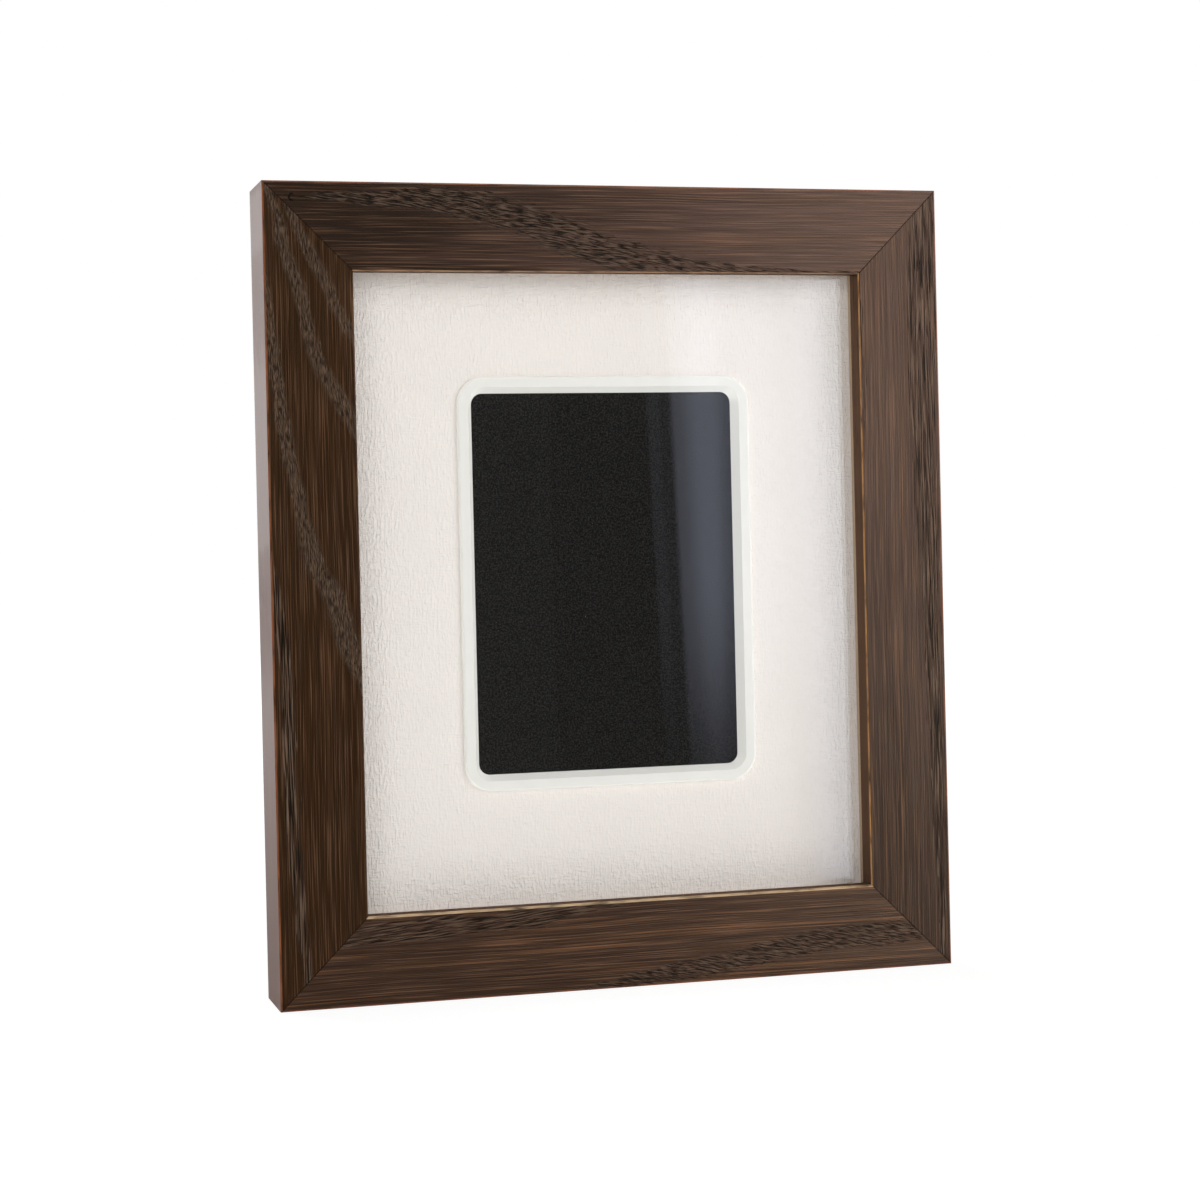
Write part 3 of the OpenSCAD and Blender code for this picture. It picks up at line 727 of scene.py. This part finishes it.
def in_from_window_edge(w, place):
    """How far a spot on the mat is from the nearest edge of the window, in millimetres."""
    x, _, z = w.split(place)
    from_sides = w.minus(FRAME_W / 2 - RAIL_FACE, w.math("ABSOLUTE", x))
    from_ends = w.minus(FRAME_H / 2 - RAIL_FACE, w.apart(z, FRAME_H / 2))
    return w.smaller(from_sides, from_ends)


def linen_paper():
    """Paper pressed with a linen weave, which is crispest near the window's edges."""
    material, w, shader = finish_named("linen_paper")
    place = w.millimetres()
    weave = w.effect(WOVEN_EMBOSS, Position=place)
    crisp = w.fade(*CRISP_MARGIN, in_from_window_edge(w, place), *LINEN_DEPTHS)
    w.feed(shader["Base Color"], w.mix(weave["Tone"], paint(238, 232, 228), paint(242, 237, 231)))
    w.feed(shader["Roughness"], w.fade(0.0, 2.0, weave["Height"], 0.92, 0.8))
    w.feed(shader["Normal"], w.bump(w.times(weave["Height"], crisp), LINEN_RELIEF))
    return material


def fibre_board(name, fibres_per_mm, dark, light, depth_mm):
    """Matt board of pressed fibres, seen on its face or on its cut edge."""
    material, w, shader = finish_named(name)
    fibre = w.effect(PRESSED_FIBRE, Position=w.stretched(w.millimetres(), fibres_per_mm))
    w.feed(shader["Base Color"], w.mix(fibre["Tone"], dark, light))
    w.feed(shader["Roughness"], w.fade(0.2, 0.8, fibre["Height"], 0.8, 0.95))
    w.feed(shader["Normal"], w.bump(fibre["Height"], depth_mm))
    return material


def mat_board():
    return fibre_board("mat_board", MAT_FIBRES, paint(232, 228, 218), paint(246, 243, 236), MAT_RELIEF)


def spacer_strip():
    colours = (paint(184, 160, 134), paint(206, 184, 158))
    return fibre_board("spacer_strip", SPACER_FIBRES, *colours, SPACER_RELIEF)


def satin_plastic():
    """Off-white moulded plastic with a faint moulding texture."""
    material, w, shader = finish_named("satin_plastic")
    place = w.millimetres()
    skin = w.marks(place, MOULDING_MARKS, detail=2.0)
    cloud = w.marks(place, PLASTIC_CLOUD_MARKS)
    w.feed(shader["Base Color"], w.mix(cloud, paint(213, 213, 208), paint(218, 218, 213)))
    w.feed(shader["Roughness"], w.fade(0.3, 0.7, skin, 0.36, 0.46))
    w.feed(shader["Normal"], w.bump(skin, MOULDING_RELIEF))
    return material


def black_flock():
    """Short black pile, with specks of paler fibre."""
    material, w, shader = finish_named("black_flock")
    place = w.millimetres()
    pile = w.marks(place, PILE_MARKS, detail=3.0, roughness=0.7)
    speck = w.cells(w.stretched(place, SPECK_GRAINS))
    rare = w.marks(place, SPECK_PATCH_MARKS, shift=13.0)
    colour = w.mix(w.fade(0.38, 0.66, pile), paint(11, 11, 10), paint(43, 42, 40))
    specks = w.times(w.fade(0.14, 0.06, speck), w.fade(0.5, 0.62, rare))
    w.feed(shader["Base Color"], w.mix(w.times(specks, 0.5), colour, paint(86, 84, 76)))
    w.feed(shader["Roughness"], w.fade(0.3, 0.7, pile, 0.95, 0.85))
    w.feed(shader["Specular IOR Level"], 0.2)
    w.feed(shader["Normal"], w.bump(pile, PILE_RELIEF))
    return material


def black_hardboard():
    """Hardboard with black paper on its faces and bare brown fibre at its cut edges."""
    material, w, shader = finish_named("black_hardboard")
    fibre = w.effect(PRESSED_FIBRE, Position=w.stretched(w.millimetres(), HARDBOARD_FIBRES))
    paper = w.mix(w.fade(0.3, 0.7, fibre["Tone"]), paint(30, 28, 26), paint(46, 43, 40))
    facing = w.split(w.add("ShaderNodeNewGeometry").outputs["True Normal"])["Y"]
    cut = w.fade(0.7, 0.5, w.math("ABSOLUTE", facing))
    bare = w.mix(fibre["Height"], paint(84, 58, 38), paint(120, 88, 60))
    w.feed(shader["Base Color"], w.mix(cut, paper, bare))
    w.feed(shader["Roughness"], w.fade(0.3, 0.7, fibre["Height"], 0.66, 0.82))
    w.feed(shader["Normal"], w.bump(fibre["Height"], HARDBOARD_RELIEF))
    return material


def plated(name, light, dark, gloss):
    """Plated or drawn metal."""
    material, w, shader = finish_named(name)
    plate = w.effect(HANDLED_PLATE, Position=w.millimetres(), Gloss=gloss)
    w.feed(shader["Base Color"], w.mix(plate["Tone"], dark, light))
    w.feed(shader["Metallic"], 1.0)
    w.feed(shader["Roughness"], plate["Roughness"])
    w.feed(shader["Normal"], w.bump(plate["Height"], PLATE_RELIEF))
    return material


# Hardware with softened edges

MERGE_DISTANCE = 0.001 * MM
FLAT_ANGLE = math.radians(1.0)
SHARP_ANGLE = math.radians(32.0)
ROUNDING_STEPS = 2

# A metal's lighter and darker colour, and how rough it is
METALS = {
    "nickel_plate": (paint(196, 192, 184), paint(180, 176, 168), 0.27),
    "drawn_steel": (paint(170, 172, 175), paint(152, 154, 158), 0.32),
    "brass_plate": (paint(206, 184, 128), paint(190, 166, 110), 0.28),
}

# A piece of hardware: its node, the piece that stands for it, its metal, and how wide its softened
# edges are, in millimetres
HARDWARE = (
    ("turn_button_upper_left", "pressed_button_upper_left", "nickel_plate", 0.18),
    ("turn_button_upper_right", "pressed_button_upper_right", "nickel_plate", 0.18),
    ("turn_button_lower_left", "pressed_button_lower_left", "nickel_plate", 0.18),
    ("turn_button_lower_right", "pressed_button_lower_right", "nickel_plate", 0.18),
    ("turn_button_screws", "pan_head_screws", "nickel_plate", 0.14),
    ("sawtooth_hanger", "toothed_hanger", "brass_plate", 0.12),
    ("hanger_nails", "round_hanger_nails", "brass_plate", 0.12),
    ("hinge_board_leaf", "upper_hinge_leaf", "nickel_plate", 0.14),
    ("hinge_board_rivets", "upper_rivets", "nickel_plate", 0.2),
    ("hinge_leg_leaf", "lower_hinge_leaf", "nickel_plate", 0.14),
    ("hinge_leg_rivets", "lower_rivets", "nickel_plate", 0.2),
    ("hinge_pin", "steel_hinge_pin", "drawn_steel", 0.15),
)
LEG_EDGE = 0.3


def softened(node, name, material, width_mm):
    """A piece with rounded edges that stands for a CAD node, and moves with the node's body."""
    source = frame["nodes"][node]
    shape = bmesh.new()
    shape.from_mesh(source.data)
    bmesh.ops.remove_doubles(shape, verts=shape.verts, dist=MERGE_DISTANCE)
    bmesh.ops.dissolve_limit(shape, angle_limit=FLAT_ANGLE, verts=shape.verts, edges=shape.edges)
    corners = [e for e in shape.edges if len(e.link_faces) == 2 and e.calc_face_angle() > SHARP_ANGLE]
    bmesh.ops.bevel(shape, geom=corners, offset=width_mm * MM, offset_type="OFFSET",
                    segments=ROUNDING_STEPS, profile=0.5, affect="EDGES", clamp_overlap=True, material=-1)
    mesh = bpy.data.meshes.new(name)
    shape.to_mesh(mesh)
    shape.free()
    mesh.materials.clear()
    mesh.materials.append(material)
    mesh.shade_smooth()
    mesh.set_sharp_from_angle(angle=SHARP_ANGLE)
    piece = bpy.data.objects.new(name, mesh)
    bpy.context.scene.collection.objects.link(piece)
    even = piece.modifiers.new("even_shading", "WEIGHTED_NORMAL")
    even.keep_sharp = True
    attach(piece, source["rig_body"])
    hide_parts(node)
    return piece


def fit_hardware():
    metals = {name: plated(name, *look) for name, look in METALS.items()}
    for node, name, metal, width_mm in HARDWARE:
        softened(node, name, metals[metal], width_mm)
    dress(metals["drawn_steel"], "corner_v_nails")


def fit_boards():
    board = black_hardboard()
    softened("easel_leg", "folding_leg", board, LEG_EDGE)
    dress(board, "back_board")


# Studio

# How far back a direction points where the dark cloth ends and the white starts
CLOTH_EDGE = (-0.15, 0.15)

# The floor's finish, half its side, the strip of Y where it fades out of the glass, the share of its
# light that is a glow for the camera, and the glow's levels at a near and a far distance
FLOOR_COLOUR = (0.82, 0.82, 0.82, 1.0)
FLOOR_ROUGHNESS = 0.9
FLOOR_HALF = 4.0
FLOOR_UNSEEN_EDGE = (0.0, -0.03)
FLOOR_GLOW_SHARE = 0.6
FLOOR_GLOW_REACH = (0.4, 1.6)
FLOOR_GLOW_LEVELS = (1.45, 1.75)

# The window that the glass mirrors is a card in front of the frame
WINDOW_DISTANCE = 1.2
WINDOW_LEFT = 0.298
WINDOW_RIGHT = 1.3
WINDOW_FOOT = -0.3
WINDOW_TOP = 0.75
WINDOW_LEAN = math.radians(2.0)

# Its dim part, which the glass over the card's well mirrors. From left to right, where each step in
# its light starts and ends, and what it adds
DIM_STEPS = (
    (0.3765, 0.3795, 0.10),
    (0.386, 0.389, -0.04),
    (0.394, 0.400, 0.45),
    (0.400, 0.419, 0.49),
)
# Right of them stands a post: where its edge starts and ends, and the share of light it leaves
DIM_POST = (0.421, 0.434, 0.62)
# Between these heights the light comes up
DIM_HEIGHTS = (-0.12, 0.09)
DIM_COLOUR = (0.86, 0.92, 1.18, 1.0)

# Its bright part, which the wood's sheen comes from: where its left edge starts and ends
BRIGHT_EDGE = (0.478, 0.54)
BRIGHT_RADIANCE = 3.4
# Over this height from the window's foot the light comes up
BRIGHT_FOOT = 0.1
# From the first height to the second it falls to this share
BRIGHT_TOP = (0.10, 0.34, 0.75)


def studio_world():
    """White all round for the camera, and a weak fill for matt surfaces.

    Shiny surfaces see the white behind the frame and a dark cloth in front of it.
    """
    world = bpy.data.worlds.new("studio")
    bpy.context.scene.world = world
    world.use_nodes = True
    world.node_tree.nodes.clear()
    world.cycles.sampling_method = "NONE"
    w = Wiring(world.node_tree)
    path = w.add("ShaderNodeLightPath").outputs
    backwards = w.split(w.add("ShaderNodeTexCoord").outputs["Generated"])["Y"]
    wall = w.fade(*CLOTH_EDGE, backwards, DARK_CLOTH, 1.0)
    shiny = w.larger(path["Is Glossy Ray"], path["Is Transmission Ray"])
    strength = w.times_plus(shiny, w.minus(wall, FILL), FILL)
    strength = w.larger(strength, path["Is Camera Ray"])
    background = w.add("ShaderNodeBackground", {"Color": WHITE, "Strength": strength})
    output = w.add("ShaderNodeOutputWorld")
    w.feed(output.inputs["Surface"], background.outputs[0])


def sheet_of_stage(name, corners, material):
    """A flat rectangle that belongs to the studio."""
    shape = bmesh.new()
    shape.faces.new([shape.verts.new(c) for c in corners])
    mesh = bpy.data.meshes.new(name)
    shape.to_mesh(mesh)
    shape.free()
    mesh.materials.append(material)
    sheet = bpy.data.objects.new(name, mesh)
    bpy.context.scene.collection.objects.link(sheet)
    return sheet


def lay_floor():
    """A pale floor that shows white to the camera, apart from the frame's shadow.

    In front of the frame, the glass doesn't mirror it.
    """
    material, w, shader = finish_named("pale_floor")
    w.feed(shader["Base Color"], FLOOR_COLOUR)
    w.feed(shader["Roughness"], FLOOR_ROUGHNESS)
    path = w.add("ShaderNodeLightPath").outputs
    place = w.add("ShaderNodeTexCoord").outputs["Object"]
    away = w.vector_math("LENGTH", {0: place})["Value"]
    level = w.fade(*FLOOR_GLOW_REACH, away, *FLOOR_GLOW_LEVELS)
    glow = w.add("ShaderNodeEmission", {"Color": WHITE, "Strength": level}).outputs[0]
    show_instead(w, w.times(path["Is Camera Ray"], FLOOR_GLOW_SHARE), glow)
    shiny = w.larger(path["Is Glossy Ray"], path["Is Transmission Ray"])
    unseen = w.times(shiny, w.fade(*FLOOR_UNSEEN_EDGE, w.split(place)["Y"]))
    show_instead(w, unseen, w.add("ShaderNodeBsdfTransparent").outputs[0])
    far = FLOOR_HALF
    sheet_of_stage("floor", ((-far, -far, 0), (far, -far, 0), (far, far, 0), (-far, far, 0)), material)


def hang_window():
    """A pale window that only shiny surfaces see. The glass mirrors its left part."""
    material, w, _ = finish_named("window_light")
    x, _, z = w.split(w.add("ShaderNodeTexCoord").outputs["Object"])
    leaning = w.times_plus(z, math.tan(WINDOW_LEAN), x)
    dim = 0.0
    for start, end, gain in DIM_STEPS:
        dim = w.plus(dim, w.fade(start, end, leaning, 0.0, gain))
    post_start, post_end, post_share = DIM_POST
    dim = w.times(dim, w.fade(post_start, post_end, x, 1.0, post_share))
    dim = w.times(dim, w.fade(*DIM_HEIGHTS, z))
    top_start, top_end, top_share = BRIGHT_TOP
    bright = w.times(w.fade(WINDOW_FOOT, WINDOW_FOOT + BRIGHT_FOOT, z, 0.0, BRIGHT_RADIANCE),
                     w.fade(top_start, top_end, z, 1.0, top_share))
    share = w.fade(*BRIGHT_EDGE, leaning)
    level = w.times_plus(share, w.minus(bright, dim), dim)
    tint = w.mix(share, DIM_COLOUR, (*LAMP_TINT, 1.0))
    w.feed(surface_of(w), w.add("ShaderNodeEmission", {"Color": tint, "Strength": level}).outputs[0])
    y = -WINDOW_DISTANCE
    left, right, foot, top = WINDOW_LEFT, WINDOW_RIGHT, WINDOW_FOOT, WINDOW_TOP
    corners = ((left, y, foot), (left, y, top), (right, y, top), (right, y, foot))
    window = sheet_of_stage("window", corners, material)
    window.visible_camera = False
    window.visible_diffuse = False
    window.visible_shadow = False


def stand_lamp(name, lamp, aim):
    """Puts a lamp in the scene, facing along aim, where the camera and shiny surfaces don't see it."""
    lamp.color = LAMP_TINT
    stand = bpy.data.objects.new(name, lamp)
    stand.rotation_euler = Vector(aim).to_track_quat("-Z", "Y").to_euler()
    bpy.context.scene.collection.objects.link(stand)
    stand.visible_camera = False
    stand.visible_glossy = False
    stand.visible_transmission = False
    return stand


def softbox(name, place, size, radiance, aim=None):
    """A large lamp that faces the card's well, unless it has an aim of its own."""
    lamp = bpy.data.lights.new(name, "AREA")
    lamp.shape = "RECTANGLE"
    lamp.size, lamp.size_y = size
    lamp.energy = radiance * math.pi * lamp.size * lamp.size_y
    well = Vector((0.0, 0.0, WELL_Z * MM))
    stand = stand_lamp(name, lamp, aim or well - Vector(place))
    stand.location = place


def light_bezel_walls():
    """Four weak lamps that reach nothing but the bezel, for the light its milky plastic passes on.

    Only the window may shade them, and it casts no shadow.
    """
    lit = bpy.data.collections.new("milky_plastic")
    lit.objects.link(frame["nodes"]["card_bezel"])
    shading = bpy.data.collections.new("shading_milky_plastic")
    shading.objects.link(bpy.data.objects["window"])
    for name, aim, level in BEZEL_GLOW:
        lamp = bpy.data.lights.new(name, "SUN")
        lamp.energy = level
        stand = stand_lamp(name, lamp, aim)
        stand.light_linking.receiver_collection = lit
        stand.light_linking.blocker_collection = shading


def place_camera():
    lens = bpy.data.cameras.new("camera")
    lens.sensor_width = CAMERA_SENSOR
    lens.lens = CAMERA_LENS
    lens.shift_y = CAMERA_SHIFT
    lens.clip_start = NEAREST_SEEN
    camera = bpy.data.objects.new("camera", lens)
    camera.location = CAMERA_PLACE
    camera.rotation_euler = [math.radians(turn) for turn in CAMERA_TURN]
    bpy.context.scene.collection.objects.link(camera)
    bpy.context.scene.camera = camera


place_camera()
bpy.context.scene.view_settings.view_transform = "Standard"
studio_world()
lay_floor()
hang_window()
softbox("front_softbox", **FRONT_BOX)
softbox("right_softbox", **RIGHT_BOX)
softbox("back_softbox", **BACK_BOX)
softbox("floor_bounce", **FLOOR_BOX)
light_bezel_walls()

dress_rails()
dress(float_glass(), "front_glass")
dress(spacer_strip(), "spacer_top", "spacer_bottom", "spacer_left", "spacer_right")
dress(linen_paper(), "mat_facing")
dress(mat_board(), "mat_core", "filler_board")
dress(satin_plastic(), "card_bezel")
dress(black_flock(), "card_pad")
fit_boards()
fit_hardware()
